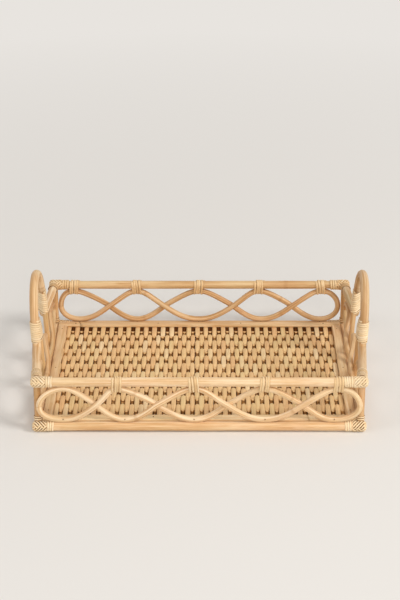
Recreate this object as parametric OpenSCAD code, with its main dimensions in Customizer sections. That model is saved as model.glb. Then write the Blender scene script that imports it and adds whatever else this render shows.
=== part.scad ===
/* [Frame] */
// Length over the frame poles
tray_l = 418; // [350:1:520]
// Width over the frame poles
tray_w = 312; // [260:1:400]
// Rise from the bottom rails' centreline to the top rails' centreline
rail_rise = 62; // [52:1:80]
// Diameter of the frame and handle poles
pole_d = 12; // [10:0.5:15]
// Diameter of the corner posts
post_d = 9; // [7:0.5:11]
// Distance that a corner post stands inboard of the front or back rails
post_set = 3.5; // [2:0.1:5]

/* [Handles] */
// Rise from the top rails' centreline to the arch's centreline
handle_rise = 77; // [67:1:100]
// Distance from the middle of a side to a handle leg
leg_y = 50; // [41:1:60]
// Distance that the legs stand outboard of the frame poles
leg_out = 7.5; // [5:0.5:9]
// Centreline radius of the bend between a leg and its run
bend_r = 8.5; // [8:0.5:14]
// Outward lean of a handle, in degrees
handle_lean = 3; // [0:0.5:6]
// Diameter of the strut bound to each leg
strut_d = 7; // [5:0.5:8.5]
// Place of a strut round its leg, in degrees from straight inboard towards the middle of the side
strut_turn = 70; // [50:1:85]
// Length of a strut's tapered tip
strut_tip_l = 10; // [6:0.5:14]
// Diameter at the end of a strut's tip
strut_tip_d = 4; // [3:0.5:5]

/* [Wall canes] */
// Diameter of the bent canes in the walls
cane_d = 6; // [4.5:0.5:7]
// Length of an end loop as a share of a middle loop
end_share = 0.85; // [0.75:0.05:1]
// Distance that the front end loops stop short of the rail corners
front_short = 2; // [1:0.5:5]
// Height of the loops' crossings above the middle of the wall
cross_lift = -1.5; // [-4:0.5:4]
// Straightness of the canes on their way up to the crests
cane_straight = 0.85; // [0.3:0.05:0.95]

/* [Floor] */
// Width of the edge strips
strip_w = 12; // [9:0.5:16]
// Thickness of the edge strips
strip_t = 3.5; // [2.5:0.5:5]
// Distance from a rail's centreline to an edge strip
strip_inset = 4.8; // [4.7:0.1:6]
// Thickness of the woven floor
floor_t = 4; // [3:0.5:5]
// Width of the strips under the floor's rim
under_w = 10; // [7:0.5:14]
// Thickness of the strips under the floor's rim
under_t = 3; // [2:0.5:3]
// Length of the short end piece of the front strip
front_end_l = 61; // [30:1:120]
// Length of the short end piece of the back strip
back_end_l = 30; // [30:1:120]
// Angle of the strip joints, in degrees
joint_angle = 13; // [0:1:30]

/* [Bindings] */
// Length of a corner binding along its rail
corner_l = 26; // [18:1:34]
// Thickness of the plaited corner bindings
corner_t = 1.3; // [0.8:0.1:2]
// Depth of the flat that the corner bindings stand on
stand_flat = 0.5; // [0.3:0.1:0.8]
// Width of the wound peel
band_w = 3; // [2:0.1:3.4]
// Thickness of the wound peel
band_t = 1.1; // [0.8:0.1:1.4]
// Gap between neighbouring turns of peel
band_gap = 0.6; // [0.5:0.1:1.2]
// Turns in a handle binding
handle_turns = 8; // [4:1:10]
// Turns in a loop binding
loop_turns = 3; // [2:1:4]
// Height of a handle binding above the top rails' centreline
binding_low = 7; // [6.5:0.5:14]

/* [Nails] */
// Diameter of a nail's shank
nail_d = 1.5; // [1:0.1:2]
// Diameter of a nail's head
nail_head_d = 2.6; // [2.2:0.1:3.5]
// Thickness of a nail's head
nail_head_t = 0.6; // [0.4:0.1:1]
// Length of the nails at the foot of the loops
foot_nail_l = 11; // [9:0.5:13]
// Tilt of those nails from upright, in degrees
foot_nail_tilt = 62; // [58:1:66]
// Distance from a strip's end to its last nail
nail_end = 12; // [8:1:20]

/* [Hidden] */
$fn = 48;
fit = 0.2;
bound_gap = 0.6;
wind_gap = 0.4;
inner_gap = 0.9;
edge_gap = 0.5;
nail_gap = 0.1;
sleeve_gap = 0.4;
sleeve_in = 1;
side_nails = 3;
long_nails = 4;
band_edge = 0.35;
wind_rings = 12;
large_rings = 8;
cane_sides = 8;
pole_sides = 12;
bend_steps = 6;
arch_steps = 9;
lobe_rings = 10;
long_lobes = 5;

// How far the hand-bent crossings stray from even spacing, left to right
front_stray = [-3, -13, -6, -1];
back_stray = [-4, -6, 4, 4];
// How far the crests, and then the feet, stray from the middles of their loops, left to right
front_sway = [[0, -9, 3.5, 0, 1.5], [-2, 0, 3, 0.5, -3]];
back_sway = [[-6.5, 0, 0, -3.5, 1], [0, 0, 0, 0, 0]];
side_sway = [[0, 0, 0], [0, 0, 0]];
// Which cane lies outermost at each crossing: 1 for the cane that starts up
front_over = [-1, 1, 1, 1];
back_over = [1, 1, 1, -1];
side_over = [1, -1];

pole_r = pole_d / 2;
frame_x = (tray_l - pole_d) / 2;
frame_y = (tray_w - pole_d) / 2;
corner_r = pole_r + fit + corner_t;
base_z = corner_r - stand_flat;
top_z = base_z + rail_rise;
post_y = frame_y - post_set;

foot_z = base_z + pole_r + cane_d / 2 + fit;
crest_z = top_z - pole_r - cane_d / 2 - fit;
mid_z = (foot_z + crest_z) / 2;
wave_amp = (crest_z - foot_z) / 2;

arch_rise = handle_rise - leg_y;
band_pitch = band_w + band_gap;
binding_l = handle_turns * band_pitch + band_w;
leg_x = frame_x + leg_out;
strut_top_z = top_z + binding_low + binding_l - band_w;
strut_l = strut_top_z - base_z;
strut_off = (pole_d + strut_d) / 2 + bound_gap;
strut_y = leg_y - arch_in(strut_top_z - top_z) - strut_off * sin(strut_turn);
bound_z = top_z + binding_low + binding_l / 2;
strut_slope = (handle_x(bound_z) - strut_off * cos(strut_turn) - frame_x) / (bound_z - base_z);

front_half = frame_x - front_short;
back_half = frame_x - post_d / 2 - cane_d / 2 - edge_gap;
side_half = post_y - post_d / 2 - cane_d / 2 - edge_gap;
front_cross = crossings(front_half, long_lobes, front_stray);
back_cross = crossings(back_half, long_lobes, back_stray);
side_cross = [-strut_y, strut_y];
side_plane = strut_x(mid_z + cross_lift) - frame_x;
cane_part = cane_d / 2 + fit;
strut_part = (cane_d + strut_d) / 2 + fit;
post_lap = (post_d + cane_d) / 2 + fit - post_set;

strip_x = frame_x - strip_inset;
strip_y = frame_y - strip_inset;
strip_z = base_z + sqrt(pole_r * pole_r - strip_inset * strip_inset) + fit;
strip_soft = 0.8;
floor_x = frame_x - pole_r - edge_gap;
floor_y = frame_y - pole_r - edge_gap;
floor_z = strip_z - floor_t;
under_x = frame_x - pole_r - fit;
under_y = frame_y - pole_r - fit;

peeled = [0.93, 0.81, 0.62];
pole_tan = [0.87, 0.72, 0.50];
cane_tan = [0.89, 0.75, 0.53];
weave_tan = [0.85, 0.70, 0.49];
peel_cream = [0.95, 0.87, 0.71];
nail_brown = [0.30, 0.22, 0.15];

// Where a strut's centreline stands at height z
function strut_x(z) = frame_x + strut_slope * (z - base_z);

// Where a leaning handle leg's centreline stands at height z
function handle_x(z) = leg_x + tan(handle_lean) * (z - top_z);

// How far the bend carries the leg away from its straight line, a rise above the top rails
function bend_away(rise) = rise >= bend_r ? 0 : bend_r - sqrt(bend_r * bend_r - pow(bend_r - rise, 2));

// How far the arch carries the leg in from its straight line, a rise above the top rails
function arch_in(rise) = rise <= arch_rise ? 0 : leg_y - sqrt(leg_y * leg_y - pow(rise - arch_rise, 2));

// Sideways place of the leg's centreline from its straight line, and the tilt of the pole there
function leg_off(rise) = bend_away(rise) - arch_in(rise);
function leg_tilt(rise) =
    rise < bend_r ? asin((bend_r - rise) / bend_r)
    : rise > arch_rise ? asin((rise - arch_rise) / leg_y)
    : 0;

// Crossing places of a chain of loops, evenly spaced and then strayed
function crossings(half, lobes, stray) =
    let(pitch = 2 * half / (lobes - 2 + 2 * end_share))
    [for (j = [0 : lobes - 2]) (j - (lobes - 2) / 2) * pitch + stray[j]];

// Middles of the two end loops' crests
function first_crest(cross) = cross[0] - (cross[1] - cross[0]) / 2;
function last_crest(cross) =
    let(last = len(cross) - 1)
    cross[last] + (cross[last] - cross[last - 1]) / 2;

// Crest of loop i, counted from the left
function crest_x(cross, i) =
    i == 0 ? first_crest(cross)
    : i == len(cross) ? last_crest(cross)
    : (cross[i - 1] + cross[i]) / 2;

// Place along the wall of a cane at t, where t counts loops from the left end
function cane_x(t, half, cross) =
    let(n = len(cross) + 1, i = min(floor(t), n - 1), s = t - i)
    i == 0 && s < 0.5 ? first_crest(cross) - (first_crest(cross) + half) * cos(180 * s)
    : i == n - 1 && s > 0.5 ? last_crest(cross) - (half - last_crest(cross)) * cos(180 * s)
    : i == 0 ? first_crest(cross) + (2 * s - 1) * (cross[0] - first_crest(cross))
    : i == n - 1 ? cross[n - 2] + 2 * s * (last_crest(cross) - cross[n - 2])
    : cross[i - 1] + s * (cross[i] - cross[i - 1]);

// How far along the wall a crest or a foot that strays carries a cane at t; start is 1 for the cane
// that starts up and -1 for the other
function cane_sway(t, start, sway) =
    let(i = min(floor(t), len(sway[0]) - 1), up = start * sin(180 * t) > 0)
    sway[up ? 0 : 1][i] * pow(sin(180 * t), 2);

// The rise to a crest, from 0 at a crossing to 1, for a share of a plain wave
function crest_rise(share) = asin(cane_straight * share) / asin(cane_straight);

// Height of a cane at t
function cane_z(t, start, n) =
    let(share = start * sin(180 * t), between = t > 0.5 && t < n - 0.5)
    mid_z + wave_amp * (between && share > 0 ? crest_rise(share) : share) + cross_lift * pow(cos(180 * t), 2);

// A smooth swell that is 1 at distance 0 and 0 from half a loop on
function swell(d) = abs(d) >= 0.5 ? 0 : pow(cos(180 * d), 2);

// Outward shift of a cane at t, which carries it round its partner and round the posts
function cane_out(t, start, over, part, lap) =
    let(n = len(over) + 1, j = round(t))
    j == 0 || j == n ? lap * swell(t - j)
    : start * over[j - 1] * part * swell(t - j);

function cane_point(t, start, half, cross, sway, over, part, lap) = [
    cane_x(t, half, cross) + cane_sway(t, start, sway),
    -cane_out(t, start, over, part, lap),
    cane_z(t, start, len(cross) + 1)
];

function unit(v) = v / norm(v);

// Ring of points square to direction dir round centre p, started from the side that ref points to
function ring(p, dir, r, sides, ref) =
    let(side = unit(ref - dir * (dir * ref)), up = cross(dir, side))
    [for (k = [0 : sides - 1]) p + r * (cos(360 * k / sides) * side + sin(360 * k / sides) * up)];

// Rings of a whole cane, with upright cuts where the two canes of a wall meet
function cane_rings(start, half, cross, sway, over, part, lap) =
    let(n = len(cross) + 1, steps = n * lobe_rings, dt = 0.2 / lobe_rings)
    [for (i = [0 : steps])
        let(
            t = i / lobe_rings,
            p = cane_point(t, start, half, cross, sway, over, part, lap),
            q0 = cane_point(max(t - dt, 0), start, half, cross, sway, over, part, lap),
            q1 = cane_point(min(t + dt, n), start, half, cross, sway, over, part, lap),
            rise = i == 0 ? start : start * sign(cos(180 * n)),
            dir = i == 0 || i == steps ? [0, 0, rise] : unit(q1 - q0)
        )
        ring(p, dir, cane_d / 2, cane_sides, [0, 1, 0])];

// Centreline of the right-hand handle from the front corner, in its own leaning plane past the runs
function leaned(y, rise) = [leg_x + rise * tan(handle_lean), y, top_z + rise];
function handle_half() = concat(
    [[frame_x, -frame_y, top_z]],
    [for (i = [0 : bend_steps])
        let(a = 90 * i / bend_steps)
        leaned(-leg_y - bend_r * (1 - sin(a)), bend_r * (1 - cos(a)))],
    [for (i = [0 : arch_steps])
        let(a = 90 * i / arch_steps)
        leaned(-leg_y * cos(a), arch_rise + leg_y * sin(a))]
);
function handle_path() =
    let(half = handle_half(), n = len(half))
    concat(half, [for (i = [2 : n]) [half[n - i][0], -half[n - i][1], half[n - i][2]]]);

// Triangles that skin a row of rings, with both ends closed
function skin(n, m) = concat(
    [for (i = [0 : n - 2], k = [0 : m - 1]) [i * m + k, (i + 1) * m + k, (i + 1) * m + (k + 1) % m]],
    [for (i = [0 : n - 2], k = [0 : m - 1]) [i * m + k, (i + 1) * m + (k + 1) % m, i * m + (k + 1) % m]],
    [for (k = [1 : m - 2]) [0, k, k + 1]],
    [for (k = [1 : m - 2]) [(n - 1) * m, (n - 1) * m + k + 1, (n - 1) * m + k]]
);

module skinned(rings) {
    polyhedron(points = [for (r = rings) each r], faces = skin(len(rings), len(rings[0])));
}

// Turn k of a string pulled round a large circle and a small one: the point, then its outward angle.
// The first rings of a turn lie on the large circle and the last on the small one.
function string_ring(c1, r1, c2, r2, k) =
    let(
        v = c1 - c2,
        axis = atan2(v[1], v[0]),
        half = acos((r2 - r1) / norm(v)),
        on_small = k >= large_rings,
        a = on_small
            ? axis + half + (360 - 2 * half) * (k - large_rings) / (wind_rings - large_rings - 1)
            : axis - half + 2 * half * k / (large_rings - 1),
        n = [cos(a), sin(a)]
    )
    [on_small ? c2 + r2 * n : c1 + r1 * n, a];

// Section of the peel: how far along the wound piece, and how far out from it
band_section = [
    [-band_w / 2, band_t / 2], [-band_w * band_edge, 0], [band_w * band_edge, 0],
    [band_w / 2, band_t / 2], [band_w * band_edge, band_t], [-band_w * band_edge, band_t]
];

function band_ring(p, out, along) = [for (s = band_section) p + along * s[0] + out * s[1]];

// Least distance between points of turns that lie half a turn or more apart
function least_gap(rings) = min([
    for (i = [0 : len(rings) - 1 - wind_rings / 2])
    for (j = [i + wind_rings / 2 : min(i + 3 * wind_rings / 2, len(rings) - 1)])
    for (p = rings[i], q = rings[j]) norm(p - q)
]);

// Rings of a winding up to ring i, whose first and last rings are straight tails
function wind_count(i, last) = min(max(i, 1), last - 1) - 1;
function wind_tail(i, last) = i == 0 ? -band_w : i == last ? band_w : 0;

// Peel wound round a handle leg and its strut; back is 1 for a rear leg and -1 for a front one
function handle_rings(back) =
    let(last = handle_turns * wind_rings + 2)
    [for (i = [0 : last])
        let(
            count = wind_count(i, last),
            rise = binding_low + band_w / 2 + band_pitch * count / wind_rings,
            z = top_z + rise,
            low = rise - band_w / 2,
            high = rise + band_w / 2,
            leg = [handle_x(z), back * (leg_y + (leg_off(low) + leg_off(high)) / 2)],
            strut = [strut_x(z), back * strut_y],
            stray = abs(leg_off(low) - leg_off(high)) / 2,
            leg_r = pole_r / cos(max(leg_tilt(low), leg_tilt(high))) + stray + wind_gap,
            at = string_ring(leg, leg_r, strut, strut_d / 2 + inner_gap, count % wind_rings),
            p = at[0],
            a = at[1],
            tail = wind_tail(i, last) * [-sin(a), cos(a)]
        )
        band_ring([p[0] + tail[0], p[1] + tail[1], z], [cos(a), sin(a), 0], [0, 0, 1])];

// Peel wound round the top rail and the crest of a loop, along the wall
function loop_rings(x, pitch) =
    let(last = loop_turns * wind_rings + 2, half = loop_turns * band_pitch / 2)
    [for (i = [0 : last])
        let(
            count = wind_count(i, last),
            dx = band_pitch * count / wind_rings - half,
            drop = wave_amp * (1 - crest_rise(cos(180 * (abs(dx) + band_w / 2) / pitch))),
            crest = [0, crest_z - drop],
            rail = [0, top_z],
            at = string_ring(rail, pole_r + wind_gap, crest, cane_d / 2 + inner_gap, count % wind_rings),
            p = at[0],
            a = at[1],
            tail = wind_tail(i, last) * [-sin(a), cos(a)]
        )
        band_ring([x + dx, p[0] + tail[0], p[1] + tail[1]], [0, cos(a), sin(a)], [1, 0, 0])];

// Round pole from one point to another
module rod(a, b, d) {
    v = b - a;
    translate(a)
        rotate([0, acos(v[2] / norm(v)), atan2(v[1], v[0])])
            cylinder(d = d, h = norm(v));
}

module long_rail(y, z, grow = 0) {
    rod([-tray_l / 2, y, z], [tray_l / 2, y, z], pole_d + 2 * grow);
}

module side_rail(x, grow = 0) {
    rod([x, -frame_y, base_z], [x, frame_y, base_z], pole_d + 2 * grow);
}

// The four long rails, grown by a gap, as they cut into what meets them
module long_rail_cuts() {
    for (y = [-frame_y, frame_y], z = [base_z, top_z]) long_rail(y, z, fit);
}

// A pole that leaves the right-hand front corner for end, as it cuts into the sleeve there
module sleeve_cut(end) {
    corner = [frame_x, -frame_y, end[2]];
    rod(corner + sleeve_in * unit(end - corner), end, pole_d + 2 * sleeve_gap);
}

// The right-hand front post, which stands between the two rails
module corner_post() {
    translate([frame_x, -post_y, base_z + pole_r + fit])
        cylinder(d = post_d, h = rail_rise - pole_d - 2 * fit);
}

module nail(length, grow = 0) {
    translate([0, 0, -length]) cylinder(d = nail_d + 2 * grow, h = length);
    cylinder(d = nail_head_d + 2 * grow, h = nail_head_t);
}

// One wall's foot nails, in the wall's own frame: along +X, outward -Y
module wall_foot_nails(cross, sway, grow = 0) {
    for (i = [0 : len(cross)])
        translate([crest_x(cross, i) + sway[1][i], 0, foot_z])
            rotate([foot_nail_tilt, 0, 0])
                translate([0, 0, cane_d / 2]) nail(foot_nail_l, grow);
}

module at_front() { translate([0, -frame_y, 0]) children(); }
module at_back() { mirror([0, 1, 0]) at_front() children(); }
module at_right() { translate([frame_x + side_plane, 0, 0]) rotate([0, 0, 90]) children(); }
module at_left() { mirror([1, 0, 0]) at_right() children(); }

module all_foot_nails(grow = 0) {
    at_front() wall_foot_nails(front_cross, front_sway, grow);
    at_back() wall_foot_nails(back_cross, back_sway, grow);
    at_right() wall_foot_nails(side_cross, side_sway, grow);
    at_left() wall_foot_nails(side_cross, side_sway, grow);
}

// Even places for a row of nails between two ends
function nail_row(half, count) = [for (i = [0 : count - 1]) half * (2 * i / (count - 1) - 1)];

module all_strip_nails(grow = 0) {
    reach = strip_t + floor_t + under_t - fit;
    row_y = strip_y - strip_w / 2;
    row_x = strip_x - strip_w / 2;
    for (x = nail_row(strip_x - strip_w - nail_end, long_nails), y = [-row_y, row_y])
        translate([x, y, strip_z + strip_t]) nail(reach, grow);
    for (y = nail_row(strip_y - strip_w - nail_end, side_nails), x = [-row_x, row_x])
        translate([x, y, strip_z + strip_t]) nail(reach, grow);
}

module base_rail(back) {
    color(peeled) long_rail(back * frame_y, base_z);
}

module base_side_rail(side) {
    color(pole_tan) difference() {
        side_rail(side * frame_x);
        long_rail_cuts();
    }
}

// Right-hand front piece, mirrored to any of the four corners
module at_corner(side, back) {
    mirror([side > 0 ? 0 : 1, 0, 0]) mirror([0, back > 0 ? 1 : 0, 0]) children();
}

module post(side, back) {
    color(pole_tan) at_corner(side, back) corner_post();
}

module top_rail(back) {
    color(peeled) long_rail(back * frame_y, top_z);
}

module handle(side) {
    points = handle_path();
    last = len(points) - 1;
    rings = [for (i = [0 : last])
        let(dir = unit(points[min(i + 1, last)] - points[max(i - 1, 0)]))
        ring(points[i], dir, pole_r, pole_sides, [1, 0, 0])];
    color(pole_tan) mirror([side > 0 ? 0 : 1, 0, 0]) difference() {
        skinned(rings);
        long_rail_cuts();
    }
}

// Right-hand front strut, turned to one outline with a tapered tip
module strut(side, back) {
    tilt = atan(strut_slope);
    length = strut_l / cos(tilt);
    color(cane_tan) at_corner(side, back) difference() {
        translate([frame_x, -strut_y, base_z]) rotate([0, tilt, 0]) rotate_extrude() polygon([
            [0, 0], [strut_d / 2, 0], [strut_d / 2, length - strut_tip_l],
            [strut_tip_d / 2, length], [0, length]
        ]);
        side_rail(frame_x, fit);
    }
}

// One wall's cane, in the wall's own frame
module wall_cane(start, half, cross, sway, over, part, lap) {
    color(cane_tan) difference() {
        skinned(cane_rings(start, half, cross, sway, over, part, lap));
        wall_foot_nails(cross, sway, nail_gap);
    }
}

module front_cane(start) {
    at_front() wall_cane(start, front_half, front_cross, front_sway, front_over, cane_part, post_lap);
}

module back_cane(start) {
    at_back() wall_cane(start, back_half, back_cross, back_sway, back_over, cane_part, 0);
}

module side_cane(start) {
    wall_cane(start, side_half, side_cross, side_sway, side_over, strut_part, 0);
}

// Edge strip along +X, laid from y 0 inboard, with its top edges eased
module strip_bar(length) {
    rotate([90, 0, 90]) linear_extrude(height = length, center = true) polygon([
        [0, 0], [strip_w, 0], [strip_w, strip_t - strip_soft], [strip_w - strip_soft, strip_t],
        [strip_soft, strip_t], [0, strip_t - strip_soft]
    ]);
}

// Everything to the right of a slanting joint, moved by half the joint's gap
module right_of_joint(end_l, gap) {
    translate([strip_x - end_l + gap, strip_w / 2, 0]) rotate([0, 0, joint_angle])
        translate([0, -tray_w, -strip_t]) cube([tray_l, 2 * tray_w, 3 * strip_t]);
}

// One of the two lengths that make up a long strip
module long_strip_part(end_l, end_piece) {
    if (end_piece) intersection() {
        strip_bar(2 * strip_x);
        right_of_joint(end_l, fit / 2);
    }
    else difference() {
        strip_bar(2 * strip_x);
        right_of_joint(end_l, -fit / 2);
    }
}

module long_strip(turn, end_l, end_piece) {
    color(peeled) difference() {
        rotate([0, 0, turn]) translate([0, -strip_y, strip_z]) long_strip_part(end_l, end_piece);
        all_strip_nails(nail_gap);
        all_foot_nails(nail_gap);
    }
}

module side_strip(side) {
    color(peeled) difference() {
        rotate([0, 0, side * 90]) translate([0, -strip_x, strip_z])
            strip_bar(2 * (strip_y - strip_w - fit));
        all_strip_nails(nail_gap);
        all_foot_nails(nail_gap);
    }
}

module woven_floor() {
    color(weave_tan) difference() {
        translate([-floor_x, -floor_y, floor_z]) cube([2 * floor_x, 2 * floor_y, floor_t]);
        all_strip_nails(nail_gap);
    }
}

module long_under_strip(back) {
    color(pole_tan) difference() {
        translate([-under_x, back > 0 ? under_y - under_w : -under_y, floor_z - under_t])
            cube([2 * under_x, under_w, under_t]);
        all_strip_nails(nail_gap);
    }
}

module side_under_strip(side) {
    reach = under_y - under_w - fit;
    color(pole_tan) difference() {
        translate([side > 0 ? under_x - under_w : -under_x, -reach, floor_z - under_t])
            cube([under_w, 2 * reach, under_t]);
        all_strip_nails(nail_gap);
    }
}

// Sleeve of plaited peel on the right-hand end of a front rail
module corner_sleeve(z) {
    difference() {
        rod([tray_l / 2 - corner_l, -frame_y, z], [tray_l / 2, -frame_y, z], 2 * corner_r);
        long_rail(-frame_y, z, fit);
        translate([frame_x, -post_y, base_z]) cylinder(d = post_d + 2 * fit, h = rail_rise);
    }
}

module base_binding(side, back) {
    inner = strip_y + fit;
    color(peel_cream) at_corner(side, back) difference() {
        corner_sleeve(base_z);
        sleeve_cut([frame_x, 0, base_z]);
        translate([0, -tray_w, -tray_w]) cube([tray_l, tray_w, tray_w]);
        translate([0, -inner, floor_z - under_t - fit])
            cube([strip_x + fit, inner, floor_t + under_t + strip_t + 2 * corner_r]);
    }
}

module top_binding(side, back) {
    color(peel_cream) at_corner(side, back) difference() {
        corner_sleeve(top_z);
        sleeve_cut([leg_x, -leg_y - bend_r, top_z]);
    }
}

module handle_binding(side, back, name) {
    rings = handle_rings(back);
    echo(str(name, ": least gap between turns ", least_gap(rings), " mm"));
    color(peel_cream) mirror([side > 0 ? 0 : 1, 0, 0]) skinned(rings);
}

module loop_binding(cross, sway, i, name) {
    rings = loop_rings(crest_x(cross, i) + sway[0][i], cross[1] - cross[0]);
    echo(str(name, ": least gap between turns ", least_gap(rings), " mm"));
    color(peel_cream) skinned(rings);
}

module front_loop(i) { at_front() loop_binding(front_cross, front_sway, i, str("front ", i)); }
module back_loop(i) { at_back() loop_binding(back_cross, back_sway, i - 1, str("back ", i)); }

module strip_nails() { color(nail_brown) all_strip_nails(); }
module foot_nails() { color(nail_brown) all_foot_nails(); }

base_rail(-1);  // base_front_rail
base_rail(1);  // base_back_rail
base_side_rail(-1);  // base_left_rail
base_side_rail(1);  // base_right_rail
post(-1, -1);  // front_left_post
post(1, -1);  // front_right_post
post(-1, 1);  // back_left_post
post(1, 1);  // back_right_post
top_rail(-1);  // top_front_rail
top_rail(1);  // top_back_rail
handle(-1);  // left_handle
handle(1);  // right_handle
strut(-1, -1);  // front_left_strut
strut(-1, 1);  // back_left_strut
strut(1, -1);  // front_right_strut
strut(1, 1);  // back_right_strut
front_cane(1);  // front_cane_upper
front_cane(-1);  // front_cane_lower
back_cane(1);  // back_cane_upper
back_cane(-1);  // back_cane_lower
at_left() side_cane(1);  // left_cane_upper
at_left() side_cane(-1);  // left_cane_lower
at_right() side_cane(1);  // right_cane_upper
at_right() side_cane(-1);  // right_cane_lower
long_strip(0, front_end_l, false);  // front_edge_strip
long_strip(0, front_end_l, true);  // front_edge_strip_end
long_strip(180, back_end_l, false);  // back_edge_strip
long_strip(180, back_end_l, true);  // back_edge_strip_end
side_strip(-1);  // left_edge_strip
side_strip(1);  // right_edge_strip
woven_floor();
long_under_strip(-1);  // front_under_strip
long_under_strip(1);  // back_under_strip
side_under_strip(-1);  // left_under_strip
side_under_strip(1);  // right_under_strip
base_binding(-1, -1);  // front_left_base_binding
base_binding(1, -1);  // front_right_base_binding
base_binding(-1, 1);  // back_left_base_binding
base_binding(1, 1);  // back_right_base_binding
top_binding(-1, -1);  // front_left_top_binding
top_binding(1, -1);  // front_right_top_binding
top_binding(-1, 1);  // back_left_top_binding
top_binding(1, 1);  // back_right_top_binding
handle_binding(-1, -1, "front left");  // front_left_handle_binding
handle_binding(-1, 1, "back left");  // back_left_handle_binding
handle_binding(1, -1, "front right");  // front_right_handle_binding
handle_binding(1, 1, "back right");  // back_right_handle_binding
front_loop(1);  // front_loop_binding_1
front_loop(2);  // front_loop_binding_2
front_loop(3);  // front_loop_binding_3
front_loop(4);  // front_loop_binding_4
back_loop(1);  // back_loop_binding_1
back_loop(2);  // back_loop_binding_2
back_loop(3);  // back_loop_binding_3
back_loop(4);  // back_loop_binding_4
back_loop(5);  // back_loop_binding_5
strip_nails();
foot_nails();
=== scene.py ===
import math

import bpy
import numpy as np
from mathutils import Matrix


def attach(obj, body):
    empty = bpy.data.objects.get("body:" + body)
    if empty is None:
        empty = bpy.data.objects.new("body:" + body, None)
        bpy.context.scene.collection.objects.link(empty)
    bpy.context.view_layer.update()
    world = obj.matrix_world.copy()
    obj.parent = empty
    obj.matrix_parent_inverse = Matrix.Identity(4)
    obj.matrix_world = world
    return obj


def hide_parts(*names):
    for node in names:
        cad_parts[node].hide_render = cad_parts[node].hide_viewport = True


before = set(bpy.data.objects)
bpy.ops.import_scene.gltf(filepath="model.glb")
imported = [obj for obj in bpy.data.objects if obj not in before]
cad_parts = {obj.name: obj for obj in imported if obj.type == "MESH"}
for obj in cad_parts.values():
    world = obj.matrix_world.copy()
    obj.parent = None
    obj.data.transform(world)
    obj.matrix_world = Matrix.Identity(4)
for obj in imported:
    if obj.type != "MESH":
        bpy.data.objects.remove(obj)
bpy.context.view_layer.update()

# Bottom rails: four lengths of peeled rattan pole, cut square. The two long ones run from corner to
# corner on the front and back, and the side ones butt up to them under the woven floor.
mm = 0.001
rail_x, rail_y = 203, 150
low_z = 7
pole_thick = 12
rail_length, side_rail_length = 418, 287
left_right = (-1, "left"), (1, "right")
front_back = (-1, "front"), (1, "back")


def tone(code):
    """The linear colour of a hex code such as C8A070."""
    parts = [int(code[i:i + 2], 16) / 255 for i in (0, 2, 4)]
    return [p / 12.92 if p < 0.04045 else ((p + 0.055) / 1.055) ** 2.4 for p in parts] + [1]


def points_of(piece):
    """A piece's points as an array, in mm."""
    flat = np.empty(len(piece.data.vertices) * 3)
    piece.data.vertices.foreach_get("co", flat)
    return flat.reshape(-1, 3) / mm


def set_points(piece, places):
    """Moves a piece's points to places given in mm."""
    piece.data.vertices.foreach_set("co", (np.asarray(places) * mm).ravel())
    piece.data.update()


def write_on(piece, name, values):
    """Writes a number or a vector on every point of a piece, for its finish to read."""
    values = np.asarray(values, float)
    kind = "FLOAT_VECTOR" if values.ndim == 2 else "FLOAT"
    layer = piece.data.attributes.new(name, kind, "POINT")
    layer.data.foreach_set("vector" if values.ndim == 2 else "value", values.ravel())


def select_edges(piece, chosen):
    """Leaves only the chosen edges selected; chosen is given an edge's two end points, in mm."""
    bpy.context.tool_settings.mesh_select_mode = (False, True, False)
    data = piece.data
    data.vertices.foreach_set("select", [False] * len(data.vertices))
    data.polygons.foreach_set("select", [False] * len(data.polygons))
    places = points_of(piece)
    for edge in data.edges:
        edge.select = bool(chosen(places[edge.vertices[0]], places[edge.vertices[1]]))


def edit(tool, **settings):
    """Uses one tool on what is selected of the piece at hand."""
    bpy.ops.object.mode_set(mode="EDIT")
    tool(**settings)
    bpy.ops.object.mode_set(mode="OBJECT")


def cut_across(piece, axis, length, cuts):
    """Cuts a long piece across many times, so that it can bend."""
    parts = 1
    for number in (cuts // 60, cuts // (cuts // 60 + 1)) if cuts > 60 else (cuts,):
        select_edges(piece, lambda a, b: abs(a[axis] - b[axis]) > 0.5 * length / parts)
        edit(bpy.ops.mesh.subdivide, number_cuts=number)
        parts *= number + 1


def straight_pole(name, length, thick, seed, sides=20, step=3.0, tip=None, joints=()):
    """A straight pole along X from the origin, uneven as it grew, with its grain written on it."""
    bpy.ops.object.select_all(action="DESELECT")
    bpy.ops.mesh.primitive_cylinder_add(
        vertices=sides, radius=thick / 2 * mm, depth=length * mm,
        location=(length / 2 * mm, 0, 0), rotation=(0, math.pi / 2, 0))
    pole = bpy.context.object
    pole.name = name
    bpy.ops.object.transform_apply(location=True, rotation=True, scale=True)
    select_edges(pole, lambda a, b: abs(a[0] - b[0]) < 0.5)
    edit(bpy.ops.mesh.bevel, offset=0.07 * thick * mm, segments=2)
    cut_across(pole, 0, length, int(length / step))
    bpy.ops.object.shade_smooth_by_angle(angle=math.radians(50))
    grown = points_of(pole)
    along = grown[:, 0].copy()
    write_on(pole, "grain", np.stack([grown[:, 1], grown[:, 2], along + 700 * seed], 1))
    ring = np.zeros(len(along))
    for place in joints:
        ring += np.exp(-((along - place) / 2.2) ** 2)
    write_on(pole, "joint", ring)
    swell = 1 + 0.014 * np.sin(along / 31 + seed) + 0.009 * np.sin(along / 13.7 + 2.3 * seed) + 0.025 * ring
    if tip:
        tip_length, tip_thick = tip
        swell *= np.interp(along, [length - tip_length, length], [1, tip_thick / thick])
    grown[:, 1:] *= swell[:, None]
    set_points(pole, grown)
    return pole


def square_to(way, axis=2):
    """Two ways at right angles to way and to each other, the first of them also square to an axis."""
    side = np.cross(np.eye(3)[axis] if abs(way[axis]) < 0.9 else [1, 0, 0], way)
    side /= np.linalg.norm(side)
    return side, np.cross(way, side)


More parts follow.
